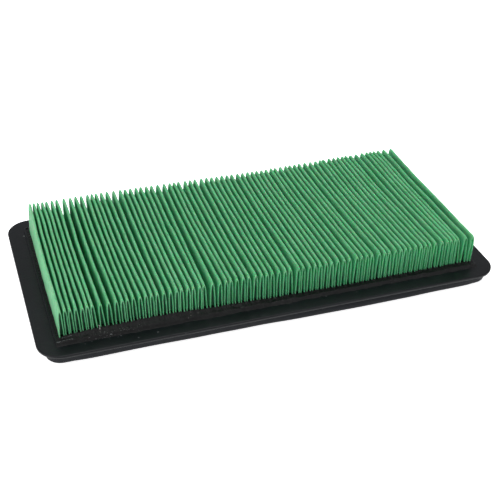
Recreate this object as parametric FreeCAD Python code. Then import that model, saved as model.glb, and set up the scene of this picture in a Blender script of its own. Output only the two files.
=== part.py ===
"""Pleated panel air filter element for a small engine, as an assembly of separate pieces.

Frame: millimetres, +Z up (towards the dusty side), +X along the long side, origin at the centre of the
bottom of the outlet rim. Z = 0 is the lowest plane, so the element stands on it.

Stack, from the bottom up: the moulded frame's retaining lip, the support screen lying on the lip, the pleated
paper pack standing on the screen, potting compound round the pack's foot, and a flange all round with a soft
sealing ring bonded under it. Hot-melt plugs close both open ends of every pleat.
"""

import FreeCAD, Part

import math
import os

from FreeCAD import Vector as V

# ---------------------------------------------------------------- driving dimensions (mm)
FRAME_L = 235.0  # flange, along X
FRAME_W = 122.5  # flange, along Y
FLANGE_R = 12.0  # flange, corner radius
FLANGE_T = 1.6  # flange thickness
FLANGE_EDGE_R = 0.65  # rounding of the flange's outer edge
FLANGE_TOP_Z = 8.4
TOTAL_H = 25.4  # to the crests of the pleats
PACK_L = 212.8  # pleat pack at its foot, along X
PACK_W = 98.6  # pleat pack, along Y (the length of every fold)
PAPER_T = 0.45  # media thickness
CREST_R = 0.52  # fold radius of a crest, to the middle of the paper
CREST_ARC = 164.0  # degrees of bend at a crest, in CREST_STEPS flats
CREST_STEPS = 6
VALLEY_R = 0.50  # fold radius of a valley, to the middle of the paper
LEAN = 1.0  # feet of the pleats near the left end stand this far to the right of their crests
LEAN_FIRST = 0.3  # the same, at the very end
POCKET_L = 215.4  # inside of the collar
POCKET_W = 103.0
COLLAR_T = 0.9  # upstanding collar's wall
COLLAR_H = 1.1  # collar above the flange
SKIRT_T = 1.7  # wall of the outlet rim, under the flange
SKIRT_R = 5.0
LIP_T = 1.8  # retaining lip under the screen
LIP_IN = 3.0  # lip reaches this far under the pack
SCREEN_T = 1.0  # two crossing wires
SCREEN_PITCH = 5.0
SCREEN_WIRE = 0.5
SCREEN_CLEAR = 0.2
POT_TOP_Z = FLANGE_TOP_Z + COLLAR_H - 0.25
SEAL_L = 227.2  # sealing ring, outside
SEAL_WIDE = 116.7
SEAL_W = 3.8  # width of its section
SEAL_R = 7.6
SEAL_BOTTOM_Z = 2.0
SEAL_GROOVE = 0.6  # depth of the groove in the flange that locates the ring
SEAL_BEAD_R = 1.0
PLUG_RECESS = 1.6  # pleat-end plugs, behind the cut edge of the paper
PLUG_T = 2.0
PACK_Z0 = LIP_T + SCREEN_T
PACK_Z1 = TOTAL_H
# crest centres along X, left to right. The folds are uneven: most pitches vary a little, and a few are wide or close
CREST_X = (
    -104.9, -102.4, -100.0, -97.5, -95.1, -92.5, -90.1, -86.5, -82.8, -79.3, -76.7, -73.7, -71.0, -68.3,
    -65.5, -62.5, -59.4, -55.9, -52.9, -50.0, -47.3, -44.3, -41.5, -38.5, -35.7, -31.8, -28.5, -25.7, -23.3,
    -20.0, -16.9, -14.2, -10.6, -7.4, -4.6, -1.8, 1.3, 4.3, 7.2, 11.0, 13.6, 16.8, 19.7, 22.5, 25.4, 28.1,
    31.3, 34.2, 37.2, 40.7, 43.3, 46.2, 48.9, 52.6, 55.7, 58.6, 61.9, 64.4, 67.2, 70.1, 72.9, 75.7, 78.4,
    80.9, 84.3, 88.0, 91.0, 93.4, 95.7, 97.9, 101.7, 105.65,
)
PLEATS = len(CREST_X)


# ---------------------------------------------------------------- helpers
def rounded_face(lx, ly, r, z):
    """Rectangle lx by ly centred on the origin at height z, with corners of radius r."""
    hx, hy = lx / 2.0, ly / 2.0
    k = r * (1 - math.sqrt(0.5))
    edges = [
        Part.makeLine(V(-hx + r, -hy, z), V(hx - r, -hy, z)),
        Part.Arc(V(hx - r, -hy, z), V(hx - k, -hy + k, z), V(hx, -hy + r, z)).toShape(),
        Part.makeLine(V(hx, -hy + r, z), V(hx, hy - r, z)),
        Part.Arc(V(hx, hy - r, z), V(hx - k, hy - k, z), V(hx - r, hy, z)).toShape(),
        Part.makeLine(V(hx - r, hy, z), V(-hx + r, hy, z)),
        Part.Arc(V(-hx + r, hy, z), V(-hx + k, hy - k, z), V(-hx, hy - r, z)).toShape(),
        Part.makeLine(V(-hx, hy - r, z), V(-hx, -hy + r, z)),
        Part.Arc(V(-hx, -hy + r, z), V(-hx + k, -hy + k, z), V(-hx + r, -hy, z)).toShape(),
    ]
    return Part.Face(Part.Wire(edges))


def slab(lx, ly, r, z0, z1):
    return rounded_face(lx, ly, r, z0).extrude(V(0, 0, z1 - z0))


def ring(outer, inner, z0, z1):
    """outer and inner are (lx, ly, r)."""
    return slab(*outer, z0, z1).cut(slab(*inner, z0 - 1.0, z1 + 1.0))


def edges_at(shape, z, near, tol=0.02):
    """Edges of shape that lie in the plane at height z and pass the test near(x, y of the edge's middle)."""
    found = []
    for e in shape.Edges:
        b = e.BoundBox
        if abs(b.ZMin - z) < tol and abs(b.ZMax - z) < tol:
            m = e.valueAt((e.FirstParameter + e.LastParameter) / 2)
            if near(m.x, m.y):
                found.append(e)
    return found


def outline_distance(x, y, lx, ly, r):
    """Signed distance from a point to a rounded rectangle, positive outside."""
    qx, qy = abs(x) - (lx / 2 - r), abs(y) - (ly / 2 - r)
    return math.hypot(max(qx, 0), max(qy, 0)) + min(max(qx, qy), 0) - r


def on_outline(lx, ly, r):
    return lambda x, y: abs(outline_distance(x, y, lx, ly, r)) < 0.05


# ---------------------------------------------------------------- pleat positions
def smooth(a, b, x):
    t = max(0.0, min(1.0, (x - a) / (b - a)))
    return t * t * (3 - 2 * t)


def lean(x):
    """How far a valley at x stands to the right of the middle between its crests."""
    return (LEAN_FIRST + (LEAN - LEAN_FIRST) * smooth(-104.0, -92.0, x)) * smooth(-38.0, -78.0, x)


VALLEYS = [(a + b) / 2 + lean((a + b) / 2) for a, b in zip(CREST_X, CREST_X[1:])]

OUTER = (FRAME_L, FRAME_W, FLANGE_R)
POCKET = (POCKET_L, POCKET_W, 1.5)
COLLAR = (POCKET_L + 2 * COLLAR_T, POCKET_W + 2 * COLLAR_T, 2.4)
SKIRT = (POCKET_L + 2 * SKIRT_T, POCKET_W + 2 * SKIRT_T, SKIRT_R)
LIP = (PACK_L - 2 * LIP_IN, PACK_W - 2 * LIP_IN, 2.0)
SEAL_OUT = (SEAL_L, SEAL_WIDE, SEAL_R)
SEAL_IN = (SEAL_OUT[0] - 2 * SEAL_W, SEAL_OUT[1] - 2 * SEAL_W, SEAL_R - SEAL_W)


# ---------------------------------------------------------------- moulded frame
def moulded_frame():
    flange = slab(*OUTER, FLANGE_TOP_Z - FLANGE_T, FLANGE_TOP_Z)
    rim = edges_at(flange, FLANGE_TOP_Z, lambda x, y: True) + edges_at(
        flange, FLANGE_TOP_Z - FLANGE_T, lambda x, y: True
    )
    flange = flange.makeFillet(FLANGE_EDGE_R, rim)
    skirt = slab(*SKIRT, 0, FLANGE_TOP_Z - FLANGE_T + 0.5)
    skirt = skirt.makeFillet(0.8, edges_at(skirt, 0, lambda x, y: True))
    collar = slab(*COLLAR, FLANGE_TOP_Z - 0.5, FLANGE_TOP_Z + COLLAR_H)
    body = flange.fuse([skirt, collar]).removeSplitter()
    body = body.cut(slab(*POCKET, LIP_T, FLANGE_TOP_Z + COLLAR_H + 1))
    body = body.cut(slab(*LIP, -1, LIP_T + 1))
    groove = ring(
        SEAL_OUT, SEAL_IN, FLANGE_TOP_Z - FLANGE_T - 1, FLANGE_TOP_Z - FLANGE_T + SEAL_GROOVE
    )
    body = body.cut(groove)
    top = edges_at(body, FLANGE_TOP_Z + COLLAR_H, on_outline(*COLLAR))
    body = body.makeFillet(0.35, top)
    lip_edge = edges_at(body, 0, on_outline(*LIP))
    return body.makeFillet(0.5, lip_edge)


def perimeter_seal():
    seal = ring(SEAL_OUT, SEAL_IN, SEAL_BOTTOM_Z, FLANGE_TOP_Z - FLANGE_T + SEAL_GROOVE)
    return seal.makeFillet(SEAL_BEAD_R, edges_at(seal, SEAL_BOTTOM_Z, lambda x, y: True))


def potting_seal():
    pot = slab(*POCKET, PACK_Z0, POT_TOP_Z)
    return pot.cut(Part.makeBox(PACK_L, PACK_W, 40, V(-PACK_L / 2, -PACK_W / 2, -5)))


# ---------------------------------------------------------------- pleated media
def arc_points(cx, cz, r, a0, a1, n):
    """Points on an arc from a0 to a1 degrees, ends included."""
    return [
        (cx + r * math.cos(math.radians(a0 + (a1 - a0) * k / n)), cz + r * math.sin(math.radians(a0 + (a1 - a0) * k / n)))
        for k in range(n + 1)
    ]


def middle_line():
    """Middle of the folded sheet in XZ, left to right, and for each crest the indices where its inside begins and ends."""
    h = PAPER_T / 2
    zc = PACK_Z1 - h / math.cos(math.radians(CREST_ARC / CREST_STEPS / 2)) - CREST_R
    zv = PACK_Z0 + h + VALLEY_R
    pts = [(-PACK_L / 2 + h, PACK_Z0)]
    spans = []
    for i, x in enumerate(CREST_X):
        first = len(pts) - 1
        if i == 0:
            pts.append((-PACK_L / 2 + h + 0.7, PACK_Z0 + 9.0))
        pts += arc_points(x, zc, CREST_R, 90 + CREST_ARC / 2, 90 - CREST_ARC / 2, CREST_STEPS)
        if i == PLEATS - 1:
            pts.append((PACK_L / 2 - h, PACK_Z0))
            spans.append((first, len(pts) - 1))
        else:
            valley = arc_points(VALLEYS[i], zv, VALLEY_R, 185, 355, 5)
            spans.append((first, len(pts)))
            pts += valley
    return pts, spans


def offset_line(pts, d):
    """pts moved d to the left of their direction of travel; the two ends move along X only, so they stay flat."""
    out = []
    for i, (x, z) in enumerate(pts):
        if i in (0, len(pts) - 1):
            sign = -1 if i == 0 else 1
            out.append((x + sign * d, z))
            continue
        ax, az = x - pts[i - 1][0], z - pts[i - 1][1]
        bx, bz = pts[i + 1][0] - x, pts[i + 1][1] - z
        la, lb = math.hypot(ax, az), math.hypot(bx, bz)
        n1 = (-az / la, ax / la)
        n2 = (-bz / lb, bx / lb)
        mx, mz = n1[0] + n2[0], n1[1] + n2[1]
        lm = math.hypot(mx, mz)
        k = d / ((mx * n1[0] + mz * n1[1]) / lm)
        out.append((x + mx / lm * k, z + mz / lm * k))
    return out


def prism(points, y0, length):
    wire = Part.makePolygon([V(x, y0, z) for x, z in points] + [V(points[0][0], y0, points[0][1])])
    return Part.Face(wire).extrude(V(0, length, 0))


def pleated_media():
    """One continuous folded sheet, cut square at both ends of its folds."""
    mid, _ = middle_line()
    over = offset_line(mid, PAPER_T / 2)
    under = offset_line(mid, -PAPER_T / 2)
    return prism(over + under[::-1], -PACK_W / 2, PACK_W)


def pleat_plugs(y0):
    """Hot-melt plugs inside every pleat, from y0 to y0 + PLUG_T."""
    mid, spans = middle_line()
    under = offset_line(mid, -PAPER_T / 2)
    return Part.makeCompound([prism(under[a : b + 1], y0, PLUG_T) for a, b in spans])


# ---------------------------------------------------------------- support screen
def support_screen():
    """Flat square-mesh screen lying on the frame's lip, in one piece."""
    lx = POCKET[0] - 2 * SCREEN_CLEAR
    ly = POCKET[1] - 2 * SCREEN_CLEAR
    sheet = rounded_face(lx, ly, 1.4, LIP_T)
    hole = SCREEN_PITCH - SCREEN_WIRE
    nx = int((lx - 2 * 2.0) // SCREEN_PITCH)
    ny = int((ly - 2 * 2.0) // SCREEN_PITCH)
    wires = []
    for i in range(nx):
        for j in range(ny):
            cx = (i - (nx - 1) / 2) * SCREEN_PITCH
            cy = (j - (ny - 1) / 2) * SCREEN_PITCH
            h = hole / 2
            wires.append(
                Part.makePolygon(
                    [
                        V(cx - h, cy - h, LIP_T),
                        V(cx - h, cy + h, LIP_T),
                        V(cx + h, cy + h, LIP_T),
                        V(cx + h, cy - h, LIP_T),
                        V(cx - h, cy - h, LIP_T),
                    ]
                )
            )
    face = Part.Face([sheet.OuterWire] + wires)
    return face.extrude(V(0, 0, SCREEN_T))


def main():
    os.makedirs("parts", exist_ok=True)
    y_front = -PACK_W / 2 + PLUG_RECESS
    y_rear = PACK_W / 2 - PLUG_RECESS - PLUG_T
    nodes = {
        "moulded_frame": moulded_frame(),
        "perimeter_seal": perimeter_seal(),
        "potting_seal": potting_seal(),
        "pleated_media": pleated_media(),
        "pleat_end_plugs_front": pleat_plugs(y_front),
        "pleat_end_plugs_rear": pleat_plugs(y_rear),
        "support_screen": support_screen(),
    }
    for name, shape in nodes.items():
        bad = [s for s in shape.Solids if not s.isValid() or s.Volume <= 0]
        b = shape.BoundBox
        print(
            name,
            "solids", len(shape.Solids),
            "faces", len(shape.Faces),
            "volume_cm3", round(shape.Volume / 1000, 2),
            "bad", len(bad),
            "box", [round(v, 2) for v in (b.XMin, b.YMin, b.ZMin, b.XMax, b.YMax, b.ZMax)],
        )
        shape.exportStep(os.path.join("parts", name + ".step"))


main()
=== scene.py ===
"""Looks for the pleated panel air filter element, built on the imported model. Metres, in the row's frame."""

import math
import random

import bpy
import numpy as np
from mathutils import Matrix, Vector


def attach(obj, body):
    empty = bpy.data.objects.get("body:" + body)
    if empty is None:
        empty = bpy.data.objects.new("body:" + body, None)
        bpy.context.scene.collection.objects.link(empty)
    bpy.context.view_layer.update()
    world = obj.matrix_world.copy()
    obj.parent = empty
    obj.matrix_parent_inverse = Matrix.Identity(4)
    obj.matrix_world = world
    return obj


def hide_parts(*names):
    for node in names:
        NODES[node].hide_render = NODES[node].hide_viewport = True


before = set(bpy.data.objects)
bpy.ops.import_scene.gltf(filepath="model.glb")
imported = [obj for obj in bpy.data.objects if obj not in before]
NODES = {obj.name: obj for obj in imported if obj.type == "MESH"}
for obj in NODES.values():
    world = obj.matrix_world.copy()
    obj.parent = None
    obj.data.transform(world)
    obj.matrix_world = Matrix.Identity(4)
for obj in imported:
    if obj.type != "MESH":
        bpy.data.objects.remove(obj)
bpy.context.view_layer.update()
MM = 0.001

# ------------------------------------------------------------------ sizes, in millimetres
PACK_L, PACK_W = 212.8, 98.6
PAPER_T = 0.45
CREST_R = 0.42  # a little tighter than the model's, so the folds read as creases
CREST_R_END = 0.25
VALLEY_R = 0.50
LEAN, LEAN_FIRST = 1.0, 0.3
FLANGE_TOP_Z = 8.4
POT_TOP_Z = 9.25
POCKET_L, POCKET_W, POCKET_R = 215.4, 103.0, 1.5
COLLAR_TOP_Z = 9.5
SEAL_L, SEAL_WIDE, SEAL_W, SEAL_R = 227.2, 116.7, 3.8, 7.6
SEAL_TOP_Z, SEAL_BOTTOM_Z = 7.4, 2.0
LIP_T, SCREEN_T, SCREEN_PITCH, SCREEN_WIRE = 1.8, 1.0, 5.0, 0.5
PACK_Z0 = LIP_T + SCREEN_T
PACK_Z1 = 25.4
PLUG_RECESS, PLUG_T = 1.6, 2.0
# crest centres along X as the model has them, straight along Y
CREST_X = (
    -104.9, -102.4, -100.0, -97.5, -95.1, -92.5, -90.1, -86.5, -82.8, -79.3, -76.7, -73.7, -71.0, -68.3,
    -65.5, -62.5, -59.4, -55.9, -52.9, -50.0, -47.3, -44.3, -41.5, -38.5, -35.7, -31.8, -28.5, -25.7, -23.3,
    -20.0, -16.9, -14.2, -10.6, -7.4, -4.6, -1.8, 1.3, 4.3, 7.2, 11.0, 13.6, 16.8, 19.7, 22.5, 25.4, 28.1,
    31.3, 34.2, 37.2, 40.7, 43.3, 46.2, 48.9, 52.6, 55.7, 58.6, 61.9, 64.4, 67.2, 70.1, 72.9, 75.7, 78.4,
    80.9, 84.3, 88.0, 91.0, 93.4, 95.7, 97.9, 101.7, 105.65,
)
CRESTS = np.array(CREST_X)
PLEATS = len(CRESTS)
# the same crests as they really lie, at five places along Y: the folds wander sideways by a millimetre or two
CREST_ROW_Y = np.array([-45.0, -12.0, 20.0, 34.0, 49.3])
CREST_ROWS = np.array((
    (
        -104.9, -102.7, -100.3, -97.6, -94.8, -92.3, -90.1, -86.3, -82.4, -78.8, -76.1, -73.6, -70.8, -67.8,
        -64.8, -62.0, -59.4, -56.1, -52.9, -50.0, -47.6, -44.3, -41.6, -38.8, -36.6, -32.3, -28.6, -25.6,
        -23.2, -20.1, -16.9, -14.2, -10.6, -7.6, -4.9, -2.2, 1.2, 4.3, 7.1, 11.2, 13.8, 17.1, 20.1, 22.8,
        25.9, 28.7, 31.9, 35.2, 38.2, 42.0, 44.7, 47.6, 50.2, 54.1, 57.2, 59.6, 63.2, 66.1, 68.6, 71.4, 74.2,
        77.2, 79.8, 82.3, 85.3, 88.9, 91.9, 94.1, 96.4, 98.1, 102.4, 106.3,
    ),
    (
        -105.2, -102.6, -100.0, -97.6, -95.2, -92.6, -90.2, -86.7, -82.9, -79.3, -76.8, -73.8, -71.2, -68.4,
        -65.6, -62.5, -59.6, -56.0, -53.0, -50.2, -47.6, -44.4, -41.8, -38.6, -36.0, -32.0, -28.8, -25.9,
        -23.5, -20.3, -17.3, -14.5, -10.9, -7.8, -4.8, -2.1, 0.9, 4.0, 7.0, 10.8, 13.5, 16.6, 19.7, 22.6,
        25.4, 28.1, 31.3, 34.3, 37.3, 40.9, 43.5, 46.5, 48.9, 52.9, 55.8, 58.7, 62.0, 64.6, 67.3, 70.3, 73.1,
        75.8, 78.8, 81.2, 84.5, 88.0, 91.0, 93.6, 95.9, 98.1, 101.8, 106.0,
    ),
    (
        -105.0, -102.3, -99.9, -97.4, -95.1, -92.6, -90.0, -86.6, -82.9, -79.5, -77.0, -73.8, -71.1, -68.5,
        -65.7, -62.6, -59.4, -55.8, -52.8, -50.0, -47.1, -44.2, -41.5, -38.4, -35.3, -31.7, -28.5, -25.8,
        -23.3, -20.0, -16.9, -14.1, -10.6, -7.3, -4.6, -1.7, 1.4, 4.4, 7.1, 10.8, 13.3, 16.6, 19.4, 22.2,
        25.0, 27.6, 31.0, 33.6, 36.6, 40.0, 42.7, 45.5, 48.3, 51.9, 55.0, 58.1, 61.2, 63.6, 66.5, 69.5, 72.3,
        75.0, 77.8, 80.1, 83.9, 87.6, 90.6, 93.0, 95.4, 97.7, 101.3, 105.6,
    ),
    (
        -104.6, -102.1, -99.7, -97.2, -94.9, -92.3, -89.7, -86.3, -82.6, -79.4, -76.8, -73.6, -70.9, -68.4,
        -65.6, -62.5, -59.2, -55.6, -52.5, -49.7, -46.9, -44.0, -41.2, -38.1, -34.9, -31.4, -28.2, -25.4,
        -23.1, -19.7, -16.6, -13.9, -10.2, -7.0, -4.4, -1.4, 1.6, 4.6, 7.4, 11.1, 13.6, 16.7, 19.7, 22.3,
        25.0, 27.7, 31.1, 33.6, 36.7, 39.9, 42.5, 45.3, 48.2, 51.7, 55.0, 58.1, 61.3, 63.7, 66.5, 69.4, 72.2,
        75.0, 77.6, 80.1, 83.9, 87.4, 90.6, 93.2, 95.5, 97.8, 101.4, 105.5,
    ),
    (
        -104.2, -102.0, -100.0, -97.6, -95.4, -92.6, -90.0, -86.2, -82.8, -79.8, -76.8, -73.4, -71.0, -68.6,
        -65.9, -62.8, -59.2, -55.6, -52.8, -49.8, -46.8, -44.1, -41.1, -38.0, -34.6, -31.0, -27.8, -25.2,
        -22.8, -19.0, -16.2, -13.4, -9.8, -6.6, -3.8, -0.8, 2.2, 5.2, 8.0, 11.6, 14.4, 17.4, 20.2, 22.7,
        25.6, 28.4, 31.4, 33.9, 37.0, 40.3, 42.6, 45.6, 48.4, 51.8, 55.2, 58.4, 61.2, 63.2, 66.8, 69.6, 72.4,
        75.0, 77.2, 80.1, 83.6, 87.4, 90.4, 92.6, 95.0, 97.6, 101.2, 105.8,
    ),
))


def smooth(a, b, x):
    t = np.clip((x - a) / (b - a), 0, 1)
    return t * t * (3 - 2 * t)


def lean(x):
    return (LEAN_FIRST + (LEAN - LEAN_FIRST) * smooth(-104.0, -92.0, x)) * smooth(-38.0, -78.0, x)


VALLEYS = (CRESTS[:-1] + CRESTS[1:]) / 2
VALLEYS = VALLEYS + lean(VALLEYS)


def crest_lines(y):
    """X of every crest at each y: a smooth curve through the rows, straight beyond them."""
    step = np.diff(CREST_ROW_Y)
    rate = np.diff(CREST_ROWS, axis=0) / step[:, None]
    slope = np.zeros_like(CREST_ROWS)
    slope[1:-1] = (rate[:-1] * step[1:, None] + rate[1:] * step[:-1, None]) / (step[1:] + step[:-1])[:, None]
    slope[0], slope[-1] = rate[0], rate[-1]
    out = np.zeros((len(y), PLEATS))
    for n, v in enumerate(y):
        j = int(np.clip(np.searchsorted(CREST_ROW_Y, v) - 1, 0, len(step) - 1))
        t = (v - CREST_ROW_Y[j]) / step[j]
        if t < 0:
            out[n] = CREST_ROWS[0] + 0.7 * slope[0] * (v - CREST_ROW_Y[0])
            continue
        out[n] = (
            (2 * t**3 - 3 * t**2 + 1) * CREST_ROWS[j]
            + (3 * t**2 - 2 * t**3) * CREST_ROWS[j + 1]
            + (t**3 - 2 * t**2 + t) * step[j] * slope[j]
            + (t**3 - t**2) * step[j] * slope[j + 1]
        )
    return out


# ------------------------------------------------------------------ mesh helpers
def make_object(name, verts_mm, faces, materials, smooth_shading=True, face_materials=None):
    """A piece from vertices in millimetres, riding on the root body."""
    mesh = bpy.data.meshes.new(name)
    mesh.from_pydata((np.asarray(verts_mm) * MM).tolist(), [], faces)
    for m in materials:
        mesh.materials.append(m)
    if face_materials is not None:
        mesh.polygons.foreach_set("material_index", np.asarray(face_materials, dtype=np.int32))
    mesh.polygons.foreach_set("use_smooth", [smooth_shading] * len(mesh.polygons))
    mesh.validate()
    mesh.update()
    obj = bpy.data.objects.new(name, mesh)
    bpy.context.scene.collection.objects.link(obj)
    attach(obj, "root")
    return obj


def float_attribute(obj, name, values):
    a = obj.data.attributes.new(name, "FLOAT", "POINT")
    a.data.foreach_set("value", np.asarray(values, dtype=np.float32))


class Waves:
    """Smooth seeded noise: a few sines with random phases, in one or two variables."""

    def __init__(self, seed, wavelengths, amplitude, n=5):
        r = np.random.default_rng(seed)
        self.k = []
        for w in wavelengths:
            for _ in range(n):
                a = r.uniform(0, 2 * math.pi)
                length = w * r.uniform(0.75, 1.3)
                self.k.append((math.cos(a) / length, math.sin(a) / length, r.uniform(0, 1), amplitude / math.sqrt(n)))

    def __call__(self, u, v=0.0):
        total = 0.0
        for a, b, p, s in self.k:
            total = total + s * np.sin(2 * math.pi * (a * u + b * v + p))
        return total


# ------------------------------------------------------------------ material helpers
class Graph:
    def __init__(self, name):
        self.material = bpy.data.materials.new(name)
        self.material.use_nodes = True
        self.tree = self.material.node_tree
        self.tree.nodes.clear()
        self.out = self.add("ShaderNodeOutputMaterial")
        self.bsdf = self.add("ShaderNodeBsdfPrincipled")
        self.link(self.bsdf, "BSDF", self.out, "Surface")
        self.coords = self.add("ShaderNodeTexCoord")

    def add(self, kind, **props):
        n = self.tree.nodes.new(kind)
        for k, v in props.items():
            setattr(n, k, v)
        return n

    def link(self, a, out, b, into):
        self.tree.links.new(a.outputs[out], b.inputs[into])

    def set(self, **values):
        for k, v in values.items():
            self.bsdf.inputs[k.replace("_", " ")].default_value = v

    def mapped(self, scale=(1, 1, 1), rotation=(0, 0, 0)):
        m = self.add("ShaderNodeMapping")
        m.inputs["Scale"].default_value = scale
        m.inputs["Rotation"].default_value = rotation
        self.link(self.coords, "Object", m, "Vector")
        return m

    def noise(self, scale, detail=3.0, roughness=0.55, mapping=None, distortion=0.0):
        n = self.add("ShaderNodeTexNoise")
        n.inputs["Scale"].default_value = scale
        n.inputs["Detail"].default_value = detail
        n.inputs["Roughness"].default_value = roughness
        n.inputs["Distortion"].default_value = distortion
        if mapping is None:
            self.link(self.coords, "Object", n, "Vector")
        else:
            self.link(mapping, "Vector", n, "Vector")
        return n

    def ramp(self, source, out, stops, interpolation="LINEAR"):
        r = self.add("ShaderNodeValToRGB")
        r.color_ramp.interpolation = interpolation
        e = r.color_ramp.elements
        while len(e) < len(stops):
            e.new(0.5)
        for s, (p, c) in zip(e, stops):
            s.position = p
            s.color = (c, c, c, 1) if isinstance(c, (int, float)) else (*c, 1)
        self.link(source, out, r, "Fac")
        return r

    def mix(self, fac, a, b, blend="MIX"):
        """fac, a and b are (node, output) or a constant."""
        m = self.add("ShaderNodeMix", data_type="RGBA", blend_type=blend)
        for i, v in ((0, fac), (6, a), (7, b)):
            if isinstance(v, tuple) and hasattr(v[0], "outputs"):
                self.tree.links.new(v[0].outputs[v[1]], m.inputs[i])
            else:
                m.inputs[i].default_value = v if i == 0 else (*v, 1)
        return m

    def math(self, op, a, b=None, clamp=False):
        m = self.add("ShaderNodeMath", operation=op, use_clamp=clamp)
        for i, v in ((0, a), (1, b)):
            if v is None:
                continue
            if isinstance(v, tuple):
                self.tree.links.new(v[0].outputs[v[1]], m.inputs[i])
            else:
                m.inputs[i].default_value = v
        return m

    def bump(self, height, distance, strength=1.0, after=None):
        b = self.add("ShaderNodeBump")
        b.inputs["Strength"].default_value = strength
        b.inputs["Distance"].default_value = distance
        self.tree.links.new(height[0].outputs[height[1]], b.inputs["Height"])
        if after is not None:
            self.link(after, "Normal", b, "Normal")
        return b


def paper_material(name, edge=False):
    """Green impregnated filter paper: clouded colour, fine fibres, a paler fold crest that is partly wear and partly
    painted highlight, and a fuller green painted deep in the folds as painted bounce light. The cut edge is a darker
    green.
    """
    g = Graph(name)
    cloud = g.noise(70, 4, 0.6)
    fine = g.noise(900, 4, 0.7)
    fibre_a = g.noise(520, 3, 0.65, g.mapped((1, 0.22, 1), (0, 0, 0.35)), 0.6)
    fibre_b = g.noise(610, 3, 0.65, g.mapped((1, 0.25, 0.9), (0, 0.3, -0.5)), 0.6)
    if edge:
        dark, light = (0.022, 0.175, 0.068), (0.062, 0.285, 0.125)
    else:
        dark, light = (0.044, 0.285, 0.107), (0.086, 0.372, 0.162)
    base = g.ramp(cloud, "Fac", [(0.25, dark), (0.75, light)])
    var = g.add("ShaderNodeAttribute", attribute_name="pleat_tone", attribute_type="GEOMETRY")
    toned = g.mix((var, "Fac"), (base, "Color"), (0.115, 0.400, 0.195))
    fibres = g.math("MULTIPLY", (fibre_a, "Fac"), (fibre_b, "Fac"))
    fibre_mask = g.ramp(fibres, "Value", [(0.18, 0.0), (0.42, 1.0)])
    speckled = g.mix((fibre_mask, "Color"), (toned, "Result"), (0.135, 0.430, 0.215), "MIX")
    half = g.mix(0.42, (toned, "Result"), (speckled, "Result"))
    pores = g.ramp(fine, "Fac", [(0.30, 0.80), (0.62, 1.06)])
    porous = g.mix(0.8, (half, "Result"), (pores, "Color"), "MULTIPLY")
    # paler towards the fold crests and the cut ends, patchy through a noise: fold wear, with a painted highlight on the
    # crests and on the first leaf's outer face
    crest_wear_highlight = g.add("ShaderNodeAttribute", attribute_name="fold_wear_and_painted_highlight", attribute_type="GEOMETRY")
    patchy_wear_highlight = g.math("MULTIPLY", (crest_wear_highlight, "Fac"), (g.ramp(g.noise(240, 3, 0.6), "Fac", [(0.3, 0.35), (0.7, 1.0)]), "Color"))
    # down in the folds the green is painted fuller: painted bounce light, the saturated shade of light bouncing between
    # the walls
    deep = g.add("ShaderNodeAttribute", attribute_name="fold_depth_painted_bounce", attribute_type="GEOMETRY")
    full = g.mix((g.math("MULTIPLY", (deep, "Fac"), 0.0 if edge else 0.8), "Value"), (porous, "Result"), (0.085, 0.440, 0.210))
    final = g.mix((patchy_wear_highlight, "Value"), (full, "Result"), (0.235, 0.440, 0.260))
    g.link(final, "Result", g.bsdf, "Base Color")
    rough = g.ramp(fine, "Fac", [(0.2, 0.78), (0.8, 0.95)])
    g.link(rough, "Color", g.bsdf, "Roughness")
    g.set(Specular_IOR_Level=0.12)
    if edge:
        g.set(Subsurface_Weight=0.25, Subsurface_Radius=(0.5, 1.0, 0.7), Subsurface_Scale=0.0006)
    else:
        g.set(Subsurface_Weight=0.8, Subsurface_Radius=(0.18, 1.0, 0.50), Subsurface_Scale=0.0016)
    b1 = g.bump((fibres, "Value"), 0.00022, 0.7)
    b2 = g.bump((fine, "Fac"), 0.00010, 0.7, b1)
    b3 = g.bump((cloud, "Fac"), 0.0006, 0.35, b2)
    g.link(b3, "Normal", g.bsdf, "Normal")
    return g.material


def moulded_material(name, dark, light, rough_low, rough_high, scuff=0.35, specular=0.35, grain=0.00005):
    """Black moulded polymer: fine spark-eroded grain, cloudy gloss, faint drag marks and a little dust."""
    g = Graph(name)
    cloud = g.noise(38, 4, 0.6)
    grain_n = g.noise(1500, 3, 0.7)
    grain_c = g.noise(420, 3, 0.6)
    streak = g.noise(90, 4, 0.7, g.mapped((0.35, 3.0, 1.5), (0, 0, 0.5)), 0.8)
    streak2 = g.noise(120, 4, 0.7, g.mapped((3.0, 0.4, 1.5), (0, 0, 0.25)), 0.6)
    base = g.ramp(cloud, "Fac", [(0.3, dark), (0.75, light)])
    marks = g.math("MULTIPLY", (g.ramp(streak, "Fac", [(0.58, 0.0), (0.74, 1.0)]), "Color"), (g.ramp(streak2, "Fac", [(0.5, 0.0), (0.7, 1.0)]), "Color"))
    marked = g.mix((g.math("MULTIPLY", (marks, "Value"), scuff), "Value"), (base, "Color"), (0.075, 0.080, 0.085))
    dust = g.add("ShaderNodeTexVoronoi", feature="F1")
    dust.inputs["Scale"].default_value = 260
    g.link(g.coords, "Object", dust, "Vector")
    dots = g.ramp(dust, "Distance", [(0.035, 1.0), (0.085, 0.0)])
    sparse = g.ramp(g.noise(60, 2, 0.5), "Fac", [(0.56, 0.0), (0.66, 1.0)])
    dusty = g.mix((g.math("MULTIPLY", (dots, "Color"), (sparse, "Color")), "Value"), (marked, "Result"), (0.16, 0.165, 0.16))
    g.link(dusty, "Result", g.bsdf, "Base Color")
    rough = g.ramp(cloud, "Fac", [(0.25, rough_low), (0.8, rough_high)])
    rough2 = g.mix((marks, "Value"), (rough, "Color"), (0.8, 0.8, 0.8))
    g.link(rough2, "Result", g.bsdf, "Roughness")
    g.set(Specular_IOR_Level=specular)
    b1 = g.bump((grain_n, "Fac"), grain, 0.8)
    b2 = g.bump((grain_c, "Fac"), grain * 2.2, 0.5, b1)
    g.link(b2, "Normal", g.bsdf, "Normal")
    return g.material


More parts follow.
